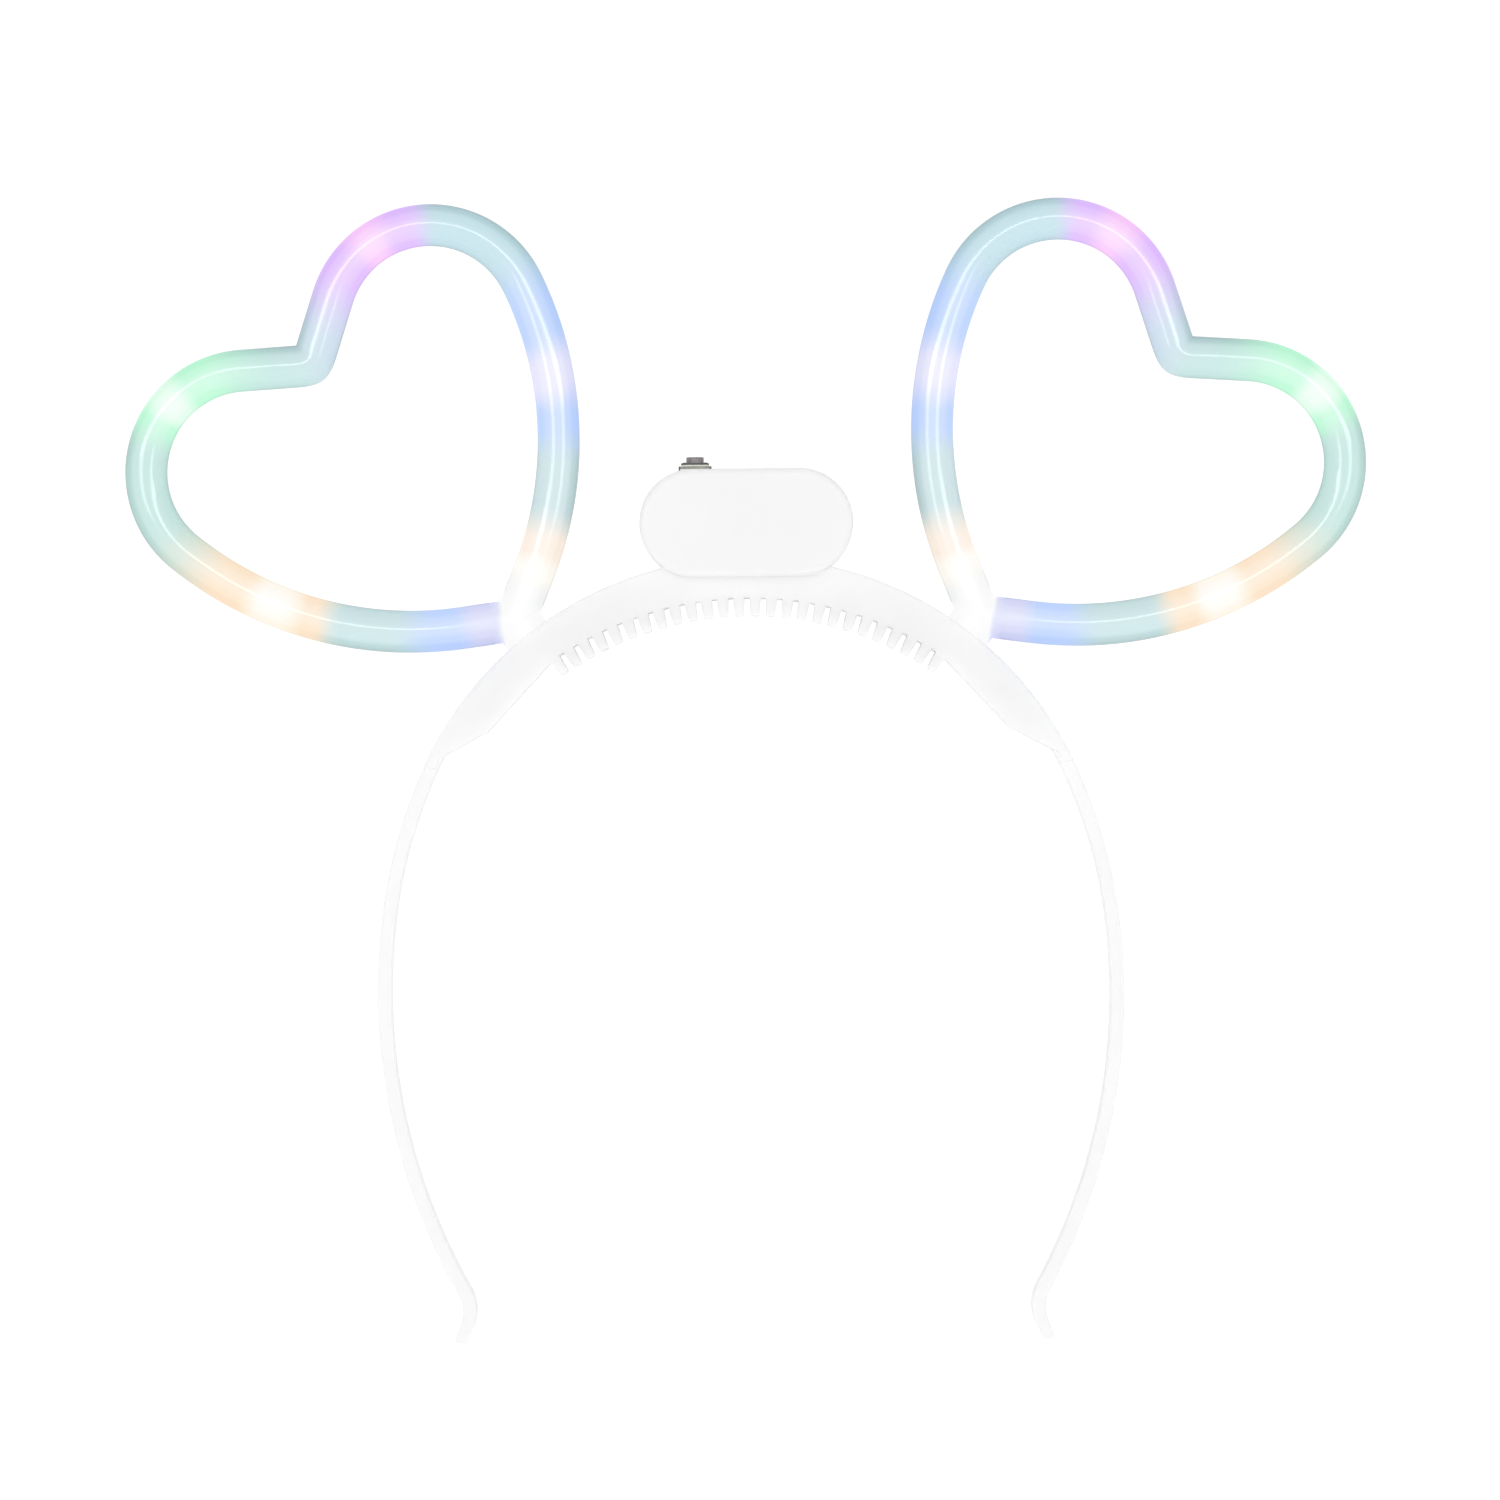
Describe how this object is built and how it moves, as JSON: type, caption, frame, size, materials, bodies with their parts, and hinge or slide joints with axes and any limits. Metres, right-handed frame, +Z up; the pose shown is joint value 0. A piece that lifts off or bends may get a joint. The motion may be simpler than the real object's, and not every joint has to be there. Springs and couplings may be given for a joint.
{
  "type": "light-up heart headband",
  "caption": "Light-up costume headband: a white band with a comb, a pill-shaped battery case with a push switch, and open hearts of frosted tube that glow in pastel colours.",
  "frame": {"origin": "middle of the surface that the headband lies on, below the middle of its outline", "axes": "+X to the viewer's right, +Y from the feet to the crown and the hearts, +Z up through the front, as it lies on its back"},
  "size_m": [0.2236, 0.2056, 0.014],
  "materials": {
    "white_plastic": "moulded, satin",
    "plated_steel": "plated, satin",
    "dark_plastic": "moulded, satin",
    "frosted_tube": "frosted, lit from inside",
    "clear_lights": "clear, lit"
  },
  "bodies": {
    "band": {"headband": "white_plastic", "case_front": "white_plastic", "switch_frame": "plated_steel", "left_heart_tube": "frosted_tube", "right_heart_tube": "frosted_tube", "left_led_string": "clear_lights", "right_led_string": "clear_lights"},
    "button": {"switch_button": "dark_plastic"}
  },
  "joints": [
    {"name": "button_press", "type": "slide", "parent": "band", "child": "button", "axis": [0, -1, 0], "range_m": [0, 0.0005], "stiffness_N_per_m": 3000}
  ]
}
